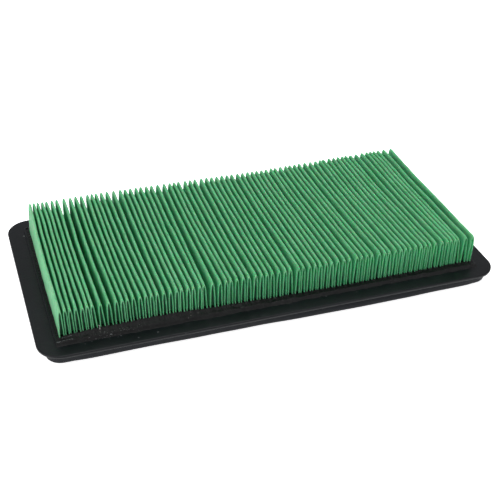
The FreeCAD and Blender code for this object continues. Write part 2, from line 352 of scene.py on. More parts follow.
def potting_material(name):
    """Cured black compound: warm, uneven, part glossy, with pinholes and grit."""
    g = Graph(name)
    cloud = g.noise(160, 5, 0.65)
    fine = g.noise(1100, 4, 0.7)
    cells = g.add("ShaderNodeTexVoronoi", feature="SMOOTH_F1")
    cells.inputs["Scale"].default_value = 700
    g.link(g.coords, "Object", cells, "Vector")
    base = g.ramp(cloud, "Fac", [(0.30, (0.0015, 0.0017, 0.0018)), (0.62, (0.0032, 0.0032, 0.0033)), (0.85, (0.0075, 0.0071, 0.0070))])
    grit = g.add("ShaderNodeTexVoronoi", feature="F1")
    grit.inputs["Scale"].default_value = 420
    g.link(g.coords, "Object", grit, "Vector")
    dots = g.ramp(grit, "Distance", [(0.05, 1.0), (0.14, 0.0)])
    sparse = g.ramp(g.noise(110, 2, 0.5), "Fac", [(0.55, 0.0), (0.64, 1.0)])
    gritty = g.mix((g.math("MULTIPLY", (dots, "Color"), (sparse, "Color")), "Value"), (base, "Color"), (0.075, 0.072, 0.068))
    g.link(gritty, "Result", g.bsdf, "Base Color")
    rough = g.ramp(cloud, "Fac", [(0.3, 0.44), (0.7, 0.70)])
    g.link(rough, "Color", g.bsdf, "Roughness")
    g.set(Specular_IOR_Level=0.25)
    b1 = g.bump((cells, "Distance"), 0.00035, 0.6)
    b2 = g.bump((fine, "Fac"), 0.00012, 0.6, b1)
    g.link(b2, "Normal", g.bsdf, "Normal")
    return g.material


def drip_material(name):
    """Small set drips of compound and dust on them: greyer and shinier than the frame; the pale grey is partly dust and
    partly painted glints.
    """
    g = Graph(name)
    n = g.noise(700, 4, 0.65)
    base = g.ramp(n, "Fac", [(0.30, (0.022, 0.024, 0.026)), (0.60, (0.085, 0.090, 0.092)), (0.82, (0.18, 0.18, 0.176))])
    g.link(base, "Color", g.bsdf, "Base Color")
    rough = g.ramp(n, "Fac", [(0.3, 0.22), (0.75, 0.5)])
    g.link(rough, "Color", g.bsdf, "Roughness")
    b = g.bump((n, "Fac"), 0.00008, 0.7)
    g.link(b, "Normal", g.bsdf, "Normal")
    return g.material


def plug_material(name):
    """Hot-melt adhesive: dull, dark, slightly waxy."""
    g = Graph(name)
    cloud = g.noise(300, 4, 0.6)
    base = g.ramp(cloud, "Fac", [(0.3, (0.010, 0.048, 0.024)), (0.75, (0.020, 0.085, 0.042))])
    g.link(base, "Color", g.bsdf, "Base Color")
    rough = g.ramp(cloud, "Fac", [(0.3, 0.4), (0.75, 0.65)])
    g.link(rough, "Color", g.bsdf, "Roughness")
    g.set(Specular_IOR_Level=0.35)
    b = g.bump((g.noise(900, 3, 0.6), "Fac"), 0.0001, 0.7)
    g.link(b, "Normal", g.bsdf, "Normal")
    return g.material


def wire_material(name):
    """Zinc-plated steel wire: dull spangle, drawn scratches, darker patches."""
    g = Graph(name)
    cloud = g.noise(220, 4, 0.6)
    drawn = g.noise(1800, 3, 0.6)
    base = g.ramp(cloud, "Fac", [(0.28, (0.30, 0.31, 0.32)), (0.6, (0.52, 0.53, 0.54)), (0.85, (0.66, 0.66, 0.65))])
    g.link(base, "Color", g.bsdf, "Base Color")
    g.set(Metallic=1.0)
    rough = g.ramp(drawn, "Fac", [(0.25, 0.28), (0.75, 0.52)])
    g.link(rough, "Color", g.bsdf, "Roughness")
    b = g.bump((drawn, "Fac"), 0.00004, 0.6)
    g.link(b, "Normal", g.bsdf, "Normal")
    return g.material


def strand_material(name):
    """A thin pulled strand of adhesive, whitish."""
    g = Graph(name)
    n = g.noise(1500, 3, 0.6)
    base = g.ramp(n, "Fac", [(0.3, (0.36, 0.36, 0.35)), (0.7, (0.60, 0.60, 0.57))])
    g.link(base, "Color", g.bsdf, "Base Color")
    rough = g.ramp(n, "Fac", [(0.3, 0.3), (0.7, 0.5)])
    g.link(rough, "Color", g.bsdf, "Roughness")
    b = g.bump((n, "Fac"), 0.00002, 0.5)
    g.link(b, "Normal", g.bsdf, "Normal")
    return g.material


def floor_material():
    g = Graph("studio_floor")
    n = g.noise(3, 3, 0.5)
    base = g.ramp(n, "Fac", [(0.3, (0.93, 0.93, 0.93)), (0.7, (0.95, 0.95, 0.95))])
    g.link(base, "Color", g.bsdf, "Base Color")
    g.set(Roughness=0.9, Specular_IOR_Level=0.1, Emission_Color=(1, 1, 1, 1), Emission_Strength=0.84)
    return g.material


PAPER = paper_material("filter_paper")
PAPER_EDGE = paper_material("filter_paper_cut_edge", edge=True)
FRAME_MAT = moulded_material("black_moulded_frame", (0.0008, 0.0015, 0.0024), (0.0017, 0.0028, 0.0042), 0.34, 0.46, specular=0.235)
SEAL_MAT = moulded_material("black_seal", (0.0035, 0.0048, 0.0064), (0.0060, 0.0076, 0.0098), 0.50, 0.64, scuff=0.3, specular=0.20, grain=0.00007)
POTTING_MAT = potting_material("potting_compound")
DRIP_MAT = drip_material("set_drips_dust_and_painted_glints")
PLUG_MAT = plug_material("hot_melt")
WIRE_MAT = wire_material("plated_wire")
STRAND_MAT = strand_material("adhesive_strand")

# ------------------------------------------------------------------ pleated media
RNG = np.random.default_rng(2024)
def stations():
    """Places along the folds where the sheet's section is worked out, closer together near the ends."""
    h = PACK_W / 2
    ends = np.array([0, 0.25, 0.55, 0.9, 1.35, 1.9, 2.6, 3.5, 4.7, 6.2])
    mid = np.linspace(-h + 8.2, h - 8.2, 47)
    return np.concatenate([-h + ends, mid, (h - ends)[::-1]])


Y = stations()
NY = len(Y)
HALF = PACK_W / 2


def sheet_section():
    """Middle surface of the folded sheet: X and Z at every station and every point along the section, with the fold each point belongs to."""
    y = Y[:, None]
    own = np.zeros((NY, PLEATS))
    for k in range(PLEATS):
        r = np.random.default_rng(500 + k)
        for w, a in ((46, 0.05), (23, 0.05), (12, 0.03)):
            own[:, k] += a * r.uniform(0.4, 1.2) * np.sin(2 * math.pi * (Y / (w * r.uniform(0.8, 1.25)) + r.uniform(0, 1)))
        if r.uniform() < 0.4:
            y0 = r.uniform(-28, 22)
            own[:, k] += r.uniform(-0.14, 0.14) * np.tanh((Y - y0) / r.uniform(0.8, 2.0))
    cx = crest_lines(Y) + own
    # no crest closer than its own width to the next
    for k in range(1, PLEATS):
        cx[:, k] = np.maximum(cx[:, k], cx[:, k - 1] + 1.45)
    for k in range(PLEATS - 2, -1, -1):
        cx[:, k] = np.minimum(cx[:, k], cx[:, k + 1] - 1.45)
    e = HALF - np.abs(y)  # distance from the nearer end
    droop = RNG.uniform(0.55, 0.95, PLEATS)[None, :] * np.where(y < 0, 1.0, 0.35)
    reach = RNG.uniform(2.0, 3.2, PLEATS)[None, :]
    level = RNG.uniform(-0.22, 0.0, PLEATS)[None, :] + 0.07 * np.sin(2 * math.pi * (y / RNG.uniform(50, 110, PLEATS)[None, :] + RNG.uniform(0, 1, PLEATS)[None, :]))
    top = PACK_Z1 - 0.08 + level - droop * np.clip(1 - e / reach, 0, 1) ** 2.0
    rise = np.interp(CRESTS, [-105, -90, -60, -40, -28, 0, 15, 35, 50, 62, 80, 95, 106], [0.3, 0.4, 0.7, 0.45, 0.15, 0, -0.3, -0.25, 0, 0.3, 0.6, 0.9, 0.7])
    top = top + rise[None, :] * smooth(-5, 49, y)
    narrow = 1 - smooth(0.0, 3.2, e) * np.ones((1, PLEATS))
    middle = (cx[:, :-1] + cx[:, 1:]) / 2
    vx = VALLEYS[None, :] + 0.75 * (middle + lean(middle) - VALLEYS[None, :])

    h = PAPER_T / 2
    zv = PACK_Z0 + h + VALLEY_R + 0.01
    wall_w = np.array([0.045, 0.10, 0.17, 0.26, 0.38, 0.52, 0.68, 0.84])  # down the wall, from crest to valley
    crest_a = np.radians([156, 134, 112, 90, 68, 46, 24])
    xs, zs, fold, depth = [], [], [], []

    def push(x, z, k, d):
        xs.append(x)
        zs.append(z)
        fold.append(np.full(NY, k))
        depth.append(d if np.ndim(d) else np.full(NY, float(d)))

    for k in range(PLEATS):
        c, t, nw = cx[:, k], top[:, k], narrow[:, k]
        r = CREST_R + (CREST_R_END - CREST_R) * nw
        zc = t - h - r
        wob_l = Waves(3000 + k, (34, 13), 0.055, 3)
        wob_r = Waves(4000 + k, (34, 13), 0.055, 3)

        def wall(side, foot_x, foot_z, wob):
            pts = []
            for w in wall_w:
                z = zc + (foot_z - zc) * w
                d = (zc - z) + r
                spread = r + 0.45 * nw * (1 - np.exp(-d / 1.5)) + (0.10 + 0.08 * (1 - nw)) * (1 - np.exp(-d / 3.0))
                x0 = c + side * spread
                x = x0 + (foot_x - x0) * (w ** 1.12)
                x = x + wob(Y, z + 7.0 * k) * math.sin(math.pi * min(1.0, w * 1.15))
                pts.append((x, z, d))
            return pts

        # left wall, from its foot up
        if k == 0:
            fx, fz = np.full(NY, -PACK_L / 2 + h), PACK_Z0
            push(fx, np.full(NY, fz), k, PACK_Z1 - fz)
            for x, z, d in reversed(wall(-1, fx, fz, wob_l)):
                push(x, z, k, d)
        else:
            v = vx[:, k - 1]
            for a in (270, 300, 330):
                push(v + VALLEY_R * math.cos(math.radians(a)), np.full(NY, zv + VALLEY_R * math.sin(math.radians(a))), k, PACK_Z1 - zv)
            for x, z, d in reversed(wall(-1, v + VALLEY_R, zv, wob_l)):
                push(x, z, k, d)
        for a in crest_a:
            push(c + r * math.cos(a), zc + r * math.sin(a), k, r * (1 - math.sin(a)))
        if k == PLEATS - 1:
            fx, fz = np.full(NY, PACK_L / 2 - h), PACK_Z0
            for x, z, d in wall(1, fx, fz, wob_r):
                push(x, z, k, d)
            push(fx, np.full(NY, fz), k, PACK_Z1 - fz)
        else:
            v = vx[:, k]
            for x, z, d in wall(1, v - VALLEY_R, zv, wob_r):
                push(x, z, k, d)
            for a in (210, 240):
                push(v + VALLEY_R * math.cos(math.radians(a)), np.full(NY, zv + VALLEY_R * math.sin(math.radians(a))), k, PACK_Z1 - zv)
    return np.stack(xs, 1), np.stack(zs, 1), np.stack(fold, 1), np.stack(depth, 1), cx, vx


MX, MZ, FOLD, DEPTH, CX, VX = sheet_section()
NK = MX.shape[1]


def offset_surface(d):
    """The middle surface moved d towards the dusty side, within its section."""
    tx, tz = np.gradient(MX, axis=1), np.gradient(MZ, axis=1)
    # the mean of the two neighbouring unit tangents, so uneven spacing doesn't tilt the normal
    dx, dz = np.diff(MX, axis=1), np.diff(MZ, axis=1)
    length = np.hypot(dx, dz)
    ux, uz = dx / length, dz / length
    tx[:, 1:-1], tz[:, 1:-1] = ux[:, 1:] + ux[:, :-1], uz[:, 1:] + uz[:, :-1]
    tx[:, 0], tz[:, 0], tx[:, -1], tz[:, -1] = ux[:, 0], uz[:, 0], ux[:, -1], uz[:, -1]
    n = np.hypot(tx, tz)
    nx, nz = -tz / n, tx / n
    cosine = np.ones_like(MX)
    cosine[:, 1:-1] = np.clip(ux[:, 1:] * tx[:, 1:-1] / n[:, 1:-1] + uz[:, 1:] * tz[:, 1:-1] / n[:, 1:-1], 0.75, 1)
    return MX + nx * d / cosine, MZ + nz * d / cosine


def build_media():
    ox, oz = offset_surface(PAPER_T / 2)
    ix, iz = offset_surface(-PAPER_T / 2)
    # the sheet's two cut edges wander a little
    edge = Waves(91, (60, 17, 5), 0.035, 3)
    k = np.arange(NK)
    yy = np.repeat(Y[:, None], NK, axis=1)
    w = smooth(3.0, 0.0, HALF - np.abs(yy))
    yy = yy + w * np.where(yy < 0, 1, -1) * (0.09 + edge(k[None, :] * 0.9, np.where(yy < 0, 0, 500.0)))
    outer = np.stack([ox, yy, oz], -1).reshape(-1, 3)
    inner = np.stack([ix, yy, iz], -1).reshape(-1, 3)
    n = NY * NK
    verts = np.concatenate([outer, inner])

    j, kk = np.meshgrid(np.arange(NY - 1), np.arange(NK - 1), indexing="ij")
    a = (j * NK + kk).ravel()
    b, c, d = a + 1, a + NK + 1, a + NK
    top_faces = np.stack([a, b, c, d], 1)
    low_faces = np.stack([a, d, c, b], 1) + n
    kk = np.arange(NK - 1)
    front = np.stack([kk, kk + n, kk + 1 + n, kk + 1], 1)
    base = (NY - 1) * NK
    rear = np.stack([base + kk, base + kk + 1, base + kk + 1 + n, base + kk + n], 1)
    jj = np.arange(NY - 1) * NK
    left = np.stack([jj, jj + NK, jj + NK + n, jj + n], 1)
    right = np.stack([jj + NK - 1, jj + NK - 1 + n, jj + 2 * NK - 1 + n, jj + 2 * NK - 1], 1)
    faces = np.concatenate([top_faces, low_faces, front, rear, left, right])
    mats = np.concatenate([np.zeros(len(top_faces) + len(low_faces), int), np.ones(len(front) + len(rear) + len(left) + len(right), int)])
    obj = make_object("pleated_paper", verts, faces.tolist(), [PAPER, PAPER_EDGE], True, mats)
    sharp = obj.data.attributes.new("sharp_edge", "BOOLEAN", "EDGE")
    edge_v = np.zeros(len(obj.data.edges) * 2, np.int64)
    obj.data.edges.foreach_get("vertices", edge_v)
    edge_v = edge_v.reshape(-1, 2)
    on_front = (edge_v % n) < NK
    on_rear = (edge_v % n) >= base
    rim = on_front.all(1) | on_rear.all(1)
    sharp.data.foreach_set("value", rim)
    tone = RNG.uniform(0.0, 0.30, PLEATS)
    streak = np.zeros((NY, NK))
    for p in range(PLEATS):
        wv = Waves(7000 + p, (60, 22), 0.06, 3)
        streak[:, FOLD[0] == p] = wv(Y, 0)[:, None]
    tones = np.clip(tone[FOLD.astype(int)] + streak, 0, 0.6)
    # paler at the fold crests, fold wear plus painted highlight, and at the cut ends, fold wear
    wear_and_highlight = 0.34 * np.exp(-DEPTH / 0.28) + 0.10 * np.exp(-DEPTH / 1.2)
    wear_and_highlight = wear_and_highlight + 0.25 * (1 - smooth(0.0, 1.2, HALF - np.abs(np.repeat(Y[:, None], NK, 1))))
    # the first leaf's outer face, which faces the key lamp, is painted paler: painted highlight
    painted_lit_leaf = np.zeros_like(wear_and_highlight)
    painted_lit_leaf[:, FOLD[0] == 0] = MX[:, FOLD[0] == 0] <= CX[:, :1]
    wear_and_highlight = wear_and_highlight + 0.45 * painted_lit_leaf
    # mask for the painted bounce light deep in the folds; the first leaf's outer face gets none
    deep = smooth(0.6, 4.0, DEPTH)
    deep[:, FOLD[0] == 0] *= (MX[:, FOLD[0] == 0] > CX[:, :1])
    float_attribute(obj, "fold_depth_painted_bounce", np.concatenate([deep.ravel(), deep.ravel()]))
    float_attribute(obj, "pleat_tone", np.concatenate([tones.ravel(), tones.ravel()]))
    float_attribute(obj, "fold_wear_and_painted_highlight", np.concatenate([wear_and_highlight.ravel(), (wear_and_highlight * 0.3).ravel()]))
    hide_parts("pleated_media")
    return ix, iz


INNER_X, INNER_Z = build_media()


def section_at(y, k0, k1):
    """The sheet's inner surface from point k0 to point k1, at any y."""
    j = int(np.clip(np.searchsorted(Y, y) - 1, 0, NY - 2))
    t = (y - Y[j]) / (Y[j + 1] - Y[j])
    xs = INNER_X[j, k0:k1] * (1 - t) + INNER_X[j + 1, k0:k1] * t
    zs = INNER_Z[j, k0:k1] * (1 - t) + INNER_Z[j + 1, k0:k1] * t
    return xs, zs


def build_plugs(name, node, sign):
    """Adhesive plugs inside the pleats at one end. sign is -1 for the front and 1 for the rear."""
    verts, faces = [], []
    for p in range(PLEATS):
        r = np.random.default_rng(9000 + p * 2 + (sign > 0))
        idx = np.where(FOLD[0] == p)[0]
        k0, k1 = idx[0], idx[-1] + 1
        mouth = HALF - PLUG_RECESS - r.uniform(-0.25, 0.35)
        deep = HALF - PLUG_RECESS - PLUG_T - r.uniform(-0.3, 0.4)
        rings = []
        for y in (mouth, (mouth + deep) / 2, deep):
            xs, zs = section_at(sign * y, k0, k1)
            m = (len(xs)) // 2
            lx, lz = xs[2:m], zs[2:m]
            rx, rz = xs[::-1][2:m], zs[::-1][2:m]
            n = min(len(lx), len(rx))
            rings.append((lx[:n], lz[:n], rx[:n], rz[:n], y))
        n = len(rings[0][0])
        start = len(verts)
        for which, (lx, lz, rx, rz, y) in enumerate(rings):
            for q in range(n):
                gap = rx[q] - lx[q]
                dip = {0: -0.35, 1: 0.0, 2: 0.35}[which] * min(1.0, max(gap, 0) / 0.5)
                lump = 0.12 * math.sin(q * 1.7 + p * 2.3)
                verts.append((lx[q] - 0.05, sign * y, lz[q]))
                verts.append(((lx[q] + rx[q]) / 2, sign * (y + dip + (lump if which != 1 else 0)), (lz[q] + rz[q]) / 2))
                verts.append((rx[q] + 0.05, sign * y, rz[q]))

        def v(w, q, c):
            return start + (w * n + q) * 3 + c

        for q in range(n - 1):
            for c in (0, 1):
                faces.append([v(0, q, c), v(0, q, c + 1), v(0, q + 1, c + 1), v(0, q + 1, c)])
                faces.append([v(2, q, c), v(2, q + 1, c), v(2, q + 1, c + 1), v(2, q, c + 1)])
            for w in (0, 1):
                faces.append([v(w, q, 0), v(w, q + 1, 0), v(w + 1, q + 1, 0), v(w + 1, q, 0)])
                faces.append([v(w, q, 2), v(w + 1, q, 2), v(w + 1, q + 1, 2), v(w, q + 1, 2)])
        for w in (0, 1):
            for c in (0, 1):
                faces.append([v(w, 0, c), v(w + 1, 0, c), v(w + 1, 0, c + 1), v(w, 0, c + 1)])
                faces.append([v(w, n - 1, c), v(w, n - 1, c + 1), v(w + 1, n - 1, c + 1), v(w + 1, n - 1, c)])
    if sign > 0:
        faces = [f[::-1] for f in faces]
    obj = make_object(name, verts, faces, [PLUG_MAT])
    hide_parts(node)
    return obj


build_plugs("hot_melt_front", "pleat_end_plugs_front", -1)
build_plugs("hot_melt_rear", "pleat_end_plugs_rear", 1)


# ------------------------------------------------------------------ potting ring
def rounded_loop(hx, hy, r, nx, ny, nc):
    """Points round a rounded rectangle, counter-clockwise, with nx and ny per side and nc per corner."""
    pts = []
    for (x0, y0), (x1, y1), n, c, a0 in (
        ((-hx + r, -hy), (hx - r, -hy), nx, (hx - r, -hy + r), -90),
        ((hx, -hy + r), (hx, hy - r), ny, (hx - r, hy - r), 0),
        ((hx - r, hy), (-hx + r, hy), nx, (-hx + r, hy - r), 90),
        ((-hx, hy - r), (-hx, -hy + r), ny, (-hx + r, -hy + r), 180),
    ):
        for i in range(n):
            t = i / n
            pts.append((x0 + (x1 - x0) * t, y0 + (y1 - y0) * t))
        for i in range(nc):
            a = math.radians(a0 + 90 * i / nc)
            pts.append((c[0] + r * math.cos(a), c[1] + r * math.sin(a)))
    return np.array(pts)


def build_potting():
    nx, ny, nc = 760, 300, 6
    inner = rounded_loop(PACK_L / 2 - 1.7, HALF - 2.2, 0.3, nx, ny, nc)
    outer = rounded_loop(POCKET_L / 2, POCKET_W / 2, POCKET_R, nx, ny, nc)
    n = len(inner)
    across = np.array([0, 0.2, 0.38, 0.47, 0.53, 0.58, 0.64, 0.71, 0.79, 0.87, 0.93, 0.97, 1.0])
    low = Waves(11, (14, 7), 0.10, 4)
    bub = Waves(12, (2.6, 1.3), 0.045, 5)
    grit = Waves(13, (0.7,), 0.03, 5)
    rings = []
    for t in across:
        p = inner + (outer - inner) * t
        x, y = p[:, 0], p[:, 1]
        # how far outside the paper's edge, and how far inside the collar
        out_x, out_y = np.abs(x) - PACK_L / 2, np.abs(y) - HALF
        d_paper = np.maximum(out_x, out_y)
        d_wall = np.minimum(POCKET_L / 2 - np.abs(x), POCKET_W / 2 - np.abs(y))
        j_front, j_rear = 0, NY - 1
        vx_front, vx_rear = VX[j_front], VX[j_rear]
        near = np.where(y < 0, np.abs(x[:, None] - vx_front[None, :]).min(1), np.abs(x[:, None] - vx_rear[None, :]).min(1))
        on_end = (out_y > out_x).astype(float)
        climb = 0.34 * np.exp(-np.clip(d_paper, 0, None) / 0.45)
        scallop = on_end * np.exp(-np.clip(d_paper, 0, None) / 0.6) * (0.42 * np.exp(-(near / 0.62) ** 2) - 0.18)
        z = POT_TOP_Z - 0.22 + climb + scallop + 0.14 * np.exp(-np.clip(d_wall, 0, None) / 0.25)
        rough = smooth(0.0, 0.35, d_wall)
        z = z + (low(x, y) + bub(x, y) * (0.6 + 0.8 * smooth(-0.2, 1.0, d_paper)) + grit(x, y)) * rough
        rings.append(np.stack([x, y, z], 1))
    floor_z = 6.0
    rings.append(np.stack([outer[:, 0], outer[:, 1], np.full(n, floor_z)], 1))
    rings.append(np.stack([inner[:, 0], inner[:, 1], np.full(n, floor_z)], 1))
    verts = np.concatenate(rings)
    faces = []
    m = len(rings)
    for r in range(m):
        a, b = r * n, ((r + 1) % m) * n
        for i in range(n):
            j = (i + 1) % n
            faces.append([a + i, b + i, b + j, a + j])
    obj = make_object("potting_compound_ring", verts, faces, [POTTING_MAT])
    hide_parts("potting_seal")
    return obj


build_potting()

BEAD_X = [-108.6, -107.2, -105, -99, -92, -76, -61, -46, -38, -30, -14, -6, 2, 20, 45, 62, 97, 106, 108.4]
BEAD_CLIMB = [0.1, 0.6, 1.5, 2.2, 2.6, 2.9, 3.1, 2.7, 2.2, 1.9, 1.6, 1.1, 0.8, 0.55, 0.35, 0.6, 0.85, 0.7, 0.1]
BEAD_Y = [-53.9, -53.45, -53.05, -52.7, -52.35, -51.9, -51.3, -50.6, -49.95, -49.45, -49.0, -48.2, -47.2]
BEAD_BASE = [8.34, 8.52, 8.92, 9.36, 9.60, 9.62, 9.40, 9.26, 9.18, 9.16, 9.12, 9.0, 8.9]
BEAD_SHARE = [0.0, 0.0, 0.03, 0.08, 0.14, 0.21, 0.33, 0.51, 0.72, 0.93, 1.0, 1.0, 1.0]


def front_bead(x, y):
    """Height of the compound that was run over the collar along the front and crept up the pleats there."""
    climb = np.interp(x, BEAD_X, BEAD_CLIMB)
    return np.interp(y, BEAD_Y, BEAD_BASE) + climb * np.interp(y, BEAD_Y, BEAD_SHARE)


def build_front_bead():
    nx = 1100
    xs = np.linspace(-108.5, 108.3, nx)
    ys = np.interp(np.linspace(0, len(BEAD_Y) - 1, 34), np.arange(len(BEAD_Y)), BEAD_Y)
    low = Waves(31, (16, 7), 0.10, 4)
    bub = Waves(32, (2.6, 1.3), 0.05, 5)
    grit = Waves(33, (0.7,), 0.03, 5)
    edge = Waves(34, (22, 9, 4), 0.16, 4)
    near = np.abs(xs[:, None] - VX[0][None, :]).min(1)
    rows = []
    for y in ys:
        yy = y + edge(xs, 0) * float(smooth(-51.5, -53.6, y))
        z = front_bead(xs, np.full(nx, y))
        d = np.clip(-49.3 - y, 0, None)
        z = z + np.exp(-d / 0.6) * (0.42 * np.exp(-((near / 0.62) ** 2)) - 0.18)
        rough = float(smooth(-53.9, -53.0, y))
        z = z + (low(xs, yy) + bub(xs, yy) + grit(xs, yy)) * rough
        rows.append(np.stack([xs, yy, z], 1))
    top = np.stack(rows)
    under = top.copy()
    under[:, :, 2] = 8.2
    verts = np.concatenate([top.reshape(-1, 3), under.reshape(-1, 3)])
    m = len(ys)
    half = m * nx
    faces = []
    for j in range(m - 1):
        for i in range(nx - 1):
            a, b, c, d = j * nx + i, j * nx + i + 1, (j + 1) * nx + i + 1, (j + 1) * nx + i
            faces.append([a, b, c, d])
            faces.append([half + d, half + c, half + b, half + a])
    for i in range(nx - 1):
        faces.append([half + i, half + i + 1, i + 1, i])
        a, b = (m - 1) * nx + i, (m - 1) * nx + i + 1
        faces.append([a, b, half + b, half + a])
    for j in range(m - 1):
        a, b = j * nx, (j + 1) * nx
        faces.append([half + a, a, b, half + b])
        a, b = a + nx - 1, b + nx - 1
        faces.append([a, half + a, half + b, b])
    return make_object("potting_front_bead", verts, faces, [POTTING_MAT])


build_front_bead()


# ------------------------------------------------------------------ sealing ring
def build_seal():
    """Soft ring under the flange. It isn't perfectly straight: its outer side swells a little along the front."""
    nx, ny, nc = 220, 110, 14
    outer = rounded_loop(SEAL_L / 2, SEAL_WIDE / 2, SEAL_R, nx, ny, nc)
    inner = rounded_loop(SEAL_L / 2 - SEAL_W, SEAL_WIDE / 2 - SEAL_W, SEAL_R - SEAL_W, nx, ny, nc)
    n = len(outer)
    b = SEAL_BOTTOM_Z
    section = [
        (0, SEAL_TOP_Z), (0, 6.6), (0, 5.4), (0, 4.2), (0, b + 1.0), (0.010, b + 0.74), (0.036, b + 0.50), (0.077, b + 0.29),
        (0.13, b + 0.135), (0.20, b + 0.035), (0.263, b), (0.42, b), (0.58, b), (0.737, b), (0.80, b + 0.035), (0.87, b + 0.135),
        (0.923, b + 0.29), (0.964, b + 0.50), (0.990, b + 0.74), (1, b + 1.0), (1, 4.2), (1, 5.6), (1, SEAL_TOP_Z),
    ]
    side = Waves(21, (70, 32), 0.07, 4)
    under = Waves(22, (60, 24), 0.05, 4)
    out = outer - inner
    out /= np.linalg.norm(out, axis=1)[:, None]
    rings = []
    for t, z in section:
        p = outer + (inner - outer) * t
        x, y = p[:, 0], p[:, 1]
        hang = float(smooth(6.8, 3.6, z))
        swell = (1.3 * np.exp(-(((x - 46) / 48) ** 2)) + 0.55 * smooth(-104, -94, x) * smooth(107, 99, x)) * (y < -40) * (1 - t)
        push = (swell + side(x, y)) * hang * (1 - 0.5 * t)
        zz = z + under(x, y) * hang * (z < 4)
        rings.append(np.stack([x + out[:, 0] * push, y + out[:, 1] * push, zz], 1))
    verts = np.concatenate(rings)
    faces = []
    m = len(rings)
    for r in range(m):
        a, c = r * n, ((r + 1) % m) * n
        for i in range(n):
            j = (i + 1) % n
            faces.append([a + i, c + i, c + j, a + j])
    obj = make_object("soft_seal_ring", verts, faces, [SEAL_MAT])
    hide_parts("perimeter_seal")
    return obj


build_seal()


def blob(verts, faces, x, y, z, rx, ry, rz, seed):
    """A low irregular droplet standing on height z."""
    w = Waves(seed, (2.0,), 0.16, 4)
    start = len(verts)
    nu, nv = 14, 5
    for v in range(nv):
        f = math.pi / 2 * v / nv
        for u in range(nu):
            a = 2 * math.pi * u / nu
            k = 1 + w(math.cos(a) * 1.3, math.sin(a) * 1.3)
            verts.append((x + rx * k * math.cos(a) * math.cos(f), y + ry * k * math.sin(a) * math.cos(f), z - 0.03 + rz * math.sin(f)))
    verts.append((x, y, z - 0.03 + rz))
    verts.append((x, y, z - 0.05))
    for v in range(nv - 1):
        for u in range(nu):
            a, b = start + v * nu, start + (v + 1) * nu
            faces.append([a + u, a + (u + 1) % nu, b + (u + 1) % nu, b + u])
    last = start + (nv - 1) * nu
    for u in range(nu):
        faces.append([last + u, last + (u + 1) % nu, start + nv * nu])
        faces.append([start + (u + 1) % nu, start + u, start + nv * nu + 1])


def build_spatter():
    """Small drips of compound on the collar and the flange, near the front left. Their pale grey also paints glints, in
    rows along the collar's corner and the pleats' foot.
    """
    verts, faces = [], []
    spots = [
        (-83.0, -52.9, 0.55, 0.40, 0.26, 8.4), (-61.5, -56.7, 0.50, 0.34, 0.16, 8.4), (-71.1, -58.0, 0.34, 0.28, 0.12, 8.4),
        (-78.6, -54.1, 0.42, 0.30, 0.18, 8.4), (-90.2, -53.4, 0.30, 0.24, 0.12, 8.4), (-95.6, -55.2, 0.22, 0.20, 0.09, 8.4),
        (-107.3, -52.2, 0.70, 0.36, 0.20, 8.4), (-109.5, 45.2, 0.6, 0.4, 0.2, 8.4), (24.5, -53.9, 0.3, 0.22, 0.12, 8.4),
    ]
    r = random.Random(5)
    for k in range(16):
        x = -84 + r.gauss(0, 7)
        spots.append((x, -53.0 - abs(r.gauss(0, 1.1)), r.uniform(0.12, 0.26), r.uniform(0.10, 0.2), r.uniform(0.05, 0.1), 8.4))
    for k in range(13):  # along the collar's front left corner: pale beads that paint glints there
        spots.append((-108.0 + 0.62 * k + r.uniform(-0.2, 0.2), -51.95 + r.uniform(-0.15, 0.12), r.uniform(0.22, 0.46), r.uniform(0.14, 0.24), r.uniform(0.12, 0.22), COLLAR_TOP_Z))
    for k in range(8):  # at the foot of the first pleats: pale beads that paint glints there
        spots.append((-105.2 + 0.65 * k + r.uniform(-0.2, 0.2), -50.15 + r.uniform(-0.2, 0.2), r.uniform(0.18, 0.42), r.uniform(0.12, 0.22), r.uniform(0.10, 0.20), 9.15))
    for k in range(34):  # a mottled smear further right
        x = r.uniform(-93, -68)
        spots.append((x, -51.6 + r.uniform(-1.2, 0.3), r.uniform(0.10, 0.30), r.uniform(0.07, 0.18), r.uniform(0.05, 0.12), COLLAR_TOP_Z - 0.02))
    for k, (x, y, rx, ry, rz, z) in enumerate(spots):
        on_bead = y < -48 and y > -53.8
        blob(verts, faces, x, y, float(front_bead(x, y)) + 0.12 if on_bead else z, rx, ry, rz, 600 + k)
    return make_object("compound_drips", verts, faces, [DRIP_MAT])


build_spatter()


def tube(verts, faces, path, radius, sides=6, caps=True):
    """A round wire along path, a list of points in millimetres."""
    path = np.asarray(path, float)
    n = len(path)
    tan = np.gradient(path, axis=0)
    tan /= np.linalg.norm(tan, axis=1)[:, None]
    up = np.array([0.0, 0.0, 1.0]) if abs(tan[0][2]) < 0.9 else np.array([0.0, 1.0, 0.0])
    start = len(verts)
    for p, t in zip(path, tan):
        a = np.cross(t, up)
        a /= np.linalg.norm(a)
        b = np.cross(t, a)
        for s in range(sides):
            q = 2 * math.pi * s / sides
            verts.append(tuple(p + radius * (math.cos(q) * a + math.sin(q) * b)))
    for i in range(n - 1):
        for s in range(sides):
            a, b = start + i * sides, start + (i + 1) * sides
            faces.append([a + s, a + (s + 1) % sides, b + (s + 1) % sides, b + s])
    if caps:
        faces.append([start + s for s in range(sides)][::-1])
        faces.append([start + (n - 1) * sides + s for s in range(sides)])


def build_strand():
    """A pulled strand of adhesive standing at the foot of the pleats, front left."""
    verts, faces = [], []
    pts = []
    for i in range(15):
        t = i / 14
        pts.append((-87.6 + 0.35 * math.sin(2.6 * t) - 0.3 * t, -50.0 + 0.25 * math.sin(4 * t), 10.7 + 3.0 * t))
    tube(verts, faces, pts, 0.13, 7)
    return make_object("adhesive_strand", verts, faces, [STRAND_MAT])


build_strand()


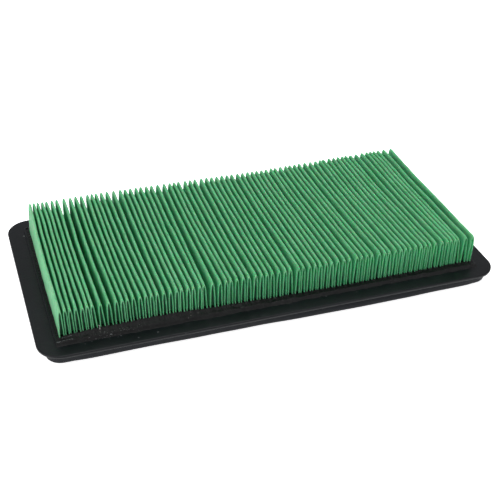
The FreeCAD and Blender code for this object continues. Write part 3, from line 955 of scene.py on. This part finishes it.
# ------------------------------------------------------------------ woven screen
def build_screen():
    lx, ly = POCKET_L - 0.6, POCKET_W - 0.6
    nx = int((POCKET_L - 0.4 - 4.0) // SCREEN_PITCH)
    ny = int((POCKET_W - 0.4 - 4.0) // SCREEN_PITCH)
    xs = [(i - nx / 2) * SCREEN_PITCH for i in range(nx + 1)]
    ys = [(j - ny / 2) * SCREEN_PITCH for j in range(ny + 1)]
    zc = LIP_T + SCREEN_T / 2
    amp = SCREEN_WIRE / 2 * 0.98
    verts, faces = [], []
    for j, y in enumerate(ys):
        path = []
        steps = int(lx / (SCREEN_PITCH / 6))
        for s in range(steps + 1):
            x = -lx / 2 + lx * s / steps
            c = math.cos(math.pi * (x - xs[0]) / SCREEN_PITCH)
            path.append((x, y + 0.05 * math.sin(x * 0.21 + j), zc + (1 if j % 2 else -1) * amp * math.copysign(abs(c) ** 0.75, c)))
        tube(verts, faces, path, SCREEN_WIRE / 2 * 0.98, 6)
    for i, x in enumerate(xs):
        path = []
        steps = int(ly / (SCREEN_PITCH / 6))
        for s in range(steps + 1):
            y = -ly / 2 + ly * s / steps
            c = math.cos(math.pi * (y - ys[0]) / SCREEN_PITCH)
            path.append((x + 0.05 * math.sin(y * 0.23 + i), y, zc - (1 if i % 2 == 0 else -1) * (-1) * amp * math.copysign(abs(c) ** 0.75, c)))
        tube(verts, faces, path, SCREEN_WIRE / 2 * 0.98, 6)
    obj = make_object("woven_screen", verts, faces, [WIRE_MAT])
    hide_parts("support_screen")
    return obj


build_screen()


# ------------------------------------------------------------------ carried-over nodes
def repaint(node, material):
    o = NODES[node]
    if o.material_slots:
        for s in o.material_slots:
            s.material = material
    else:
        o.data.materials.append(material)


repaint("moulded_frame", FRAME_MAT)

# ------------------------------------------------------------------ stage
floor_mesh = bpy.data.meshes.new("studio_floor")
floor_mesh.from_pydata([(-6, -6, 0), (6, -6, 0), (6, 6, 0), (-6, 6, 0)], [], [(0, 1, 2, 3)])
floor_mesh.materials.append(floor_material())
floor = bpy.data.objects.new("studio_floor", floor_mesh)
floor.location.z = -0.0002
bpy.context.scene.collection.objects.link(floor)


def area_light(name, location, target, size, energy, color=(1, 1, 1)):
    data = bpy.data.lights.new(name, "AREA")
    data.shape = "RECTANGLE"
    data.size, data.size_y = size
    data.energy = energy
    data.color = color
    o = bpy.data.objects.new(name, data)
    o.location = location
    o.rotation_mode = "QUATERNION"
    o.rotation_quaternion = (Vector(target) - Vector(location)).to_track_quat("-Z", "Y")
    bpy.context.scene.collection.objects.link(o)
    return o


area_light("key_left", (-0.95, -0.40, 0.72), (0, 0, 0), (0.8, 0.8), 6.3, (1.0, 0.985, 0.985))
area_light("top_soft", (0.06, 0.15, 1.3), (0, 0, 0), (0.6, 1.7), 11.9, (1.0, 0.995, 1.0))
area_light("front_fill", (0.95, -1.0, 0.5), (0.03, 0, 0), (0.7, 0.6), 4.1, (0.98, 0.99, 1.0))

world = bpy.data.worlds.new("studio")
world.use_nodes = True
bg = world.node_tree.nodes["Background"]
bg.inputs["Color"].default_value = (0.95, 0.975, 1.0, 1)
bg.inputs["Strength"].default_value = 0.39
bpy.context.scene.world = world
bpy.context.scene.view_settings.view_transform = "Standard"

cam_data = bpy.data.cameras.new("camera")
cam_data.sensor_width = 36.0
cam_data.lens = 73.04
cam_data.clip_start, cam_data.clip_end = 0.01, 20
cam = bpy.data.objects.new("camera", cam_data)
bpy.context.scene.collection.objects.link(cam)
RIGHT = Vector((0.9483865, -0.3168475, 0.0130631))
UP = Vector((0.1645819, 0.5270010, 0.8337762))
BACK = Vector((-0.2710641, -0.7885922, 0.5519480))
cam.matrix_world = Matrix(
    (
        (RIGHT.x, UP.x, BACK.x, -0.1431436),
        (RIGHT.y, UP.y, BACK.y, -0.4248197),
        (RIGHT.z, UP.z, BACK.z, 0.2948683 + FLANGE_TOP_Z * MM),
        (0, 0, 0, 1),
    )
)
bpy.context.scene.camera = cam
